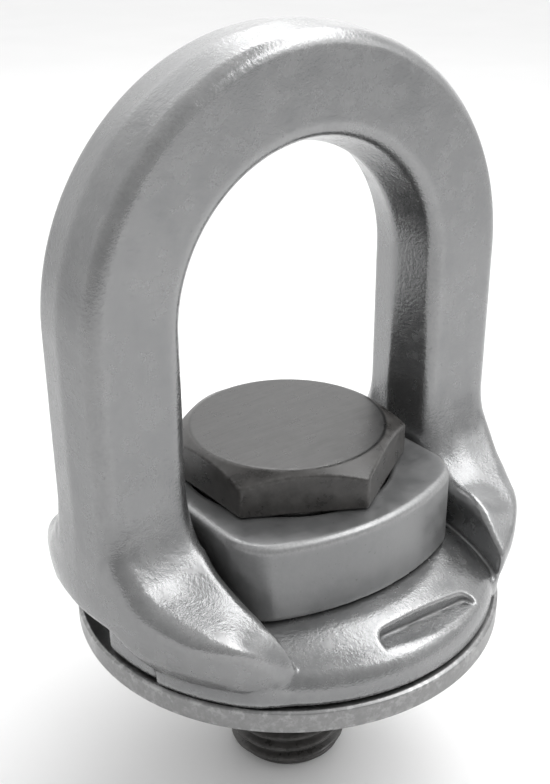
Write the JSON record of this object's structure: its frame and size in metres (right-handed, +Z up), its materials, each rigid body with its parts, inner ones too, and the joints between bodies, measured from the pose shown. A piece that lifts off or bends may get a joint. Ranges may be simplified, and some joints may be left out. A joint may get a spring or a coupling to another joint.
{
  "type": "swivel lifting eye",
  "caption": "Bolt-down swivel eye: forged ring on a base that turns on a ball bearing round a hexagon bolt and a flat base disc.",
  "frame": {"origin": "on the swivel axis, at the underside of the base disc, where the disc meets the deck and the bolt enters the thread", "axes": "+Z up along the swivel axis, out of the deck; the eye stands in the XZ plane with its legs at -X and +X"},
  "size_m": [0.0834, 0.0756, 0.1339],
  "materials": {
    "forged_steel": "shot-blasted and zinc-flake coated forging, satin with bright worn edges",
    "disc_steel": "satin grey coated steel",
    "black_bolt": "black oxide, machined top face",
    "bearing_steel": "ground and polished",
    "hardened_steel": "ground",
    "bronze": "machined",
    "spring_steel": "oiled",
    "seal_rubber": "matt",
    "glide_polymer": "matt"
  },
  "bodies": {
    "seat": {"base_disc": "disc_steel", "flanged_bush": "hardened_steel", "disc_snap_ring": "spring_steel", "upper_race": "bearing_steel"},
    "eye": {"eye_ring": "forged_steel", "bearing_collar": "forged_steel", "collar_nut": "hardened_steel", "collar_liner": "bronze", "lower_race": "bearing_steel", "glide_ring": "glide_polymer", "base_seal": "seal_rubber"},
    "ball_train": {"ball_cage": "bronze", "ball_01": "bearing_steel", "ball_02": "bearing_steel", "ball_03": "bearing_steel", "ball_04": "bearing_steel", "ball_05": "bearing_steel", "ball_06": "bearing_steel", "ball_07": "bearing_steel", "ball_08": "bearing_steel", "ball_09": "bearing_steel", "ball_10": "bearing_steel", "ball_11": "bearing_steel", "ball_12": "bearing_steel", "ball_13": "bearing_steel", "ball_14": "bearing_steel", "ball_15": "bearing_steel", "ball_16": "bearing_steel", "ball_17": "bearing_steel", "ball_18": "bearing_steel"},
    "bolt": {"centre_bolt": "black_bolt", "bolt_keeper_ring": "spring_steel"}
  },
  "joints": [
    {"name": "eye_swivel", "type": "hinge", "parent": "seat", "child": "eye", "pos_m": [0, 0, 0.01], "axis": [0, 0, 1], "continuous": true},
    {"name": "ball_roll", "type": "hinge", "parent": "seat", "child": "ball_train", "pos_m": [0, 0, 0.0206], "axis": [0, 0, 1], "continuous": true},
    {"name": "bolt_turn", "type": "hinge", "parent": "seat", "child": "bolt", "pos_m": [0, 0, 0], "axis": [0, 0, 1], "continuous": true}
  ],
  "couplings": [
    {"joint": "ball_roll", "follows": "eye_swivel", "ratio": 0.5}
  ]
}
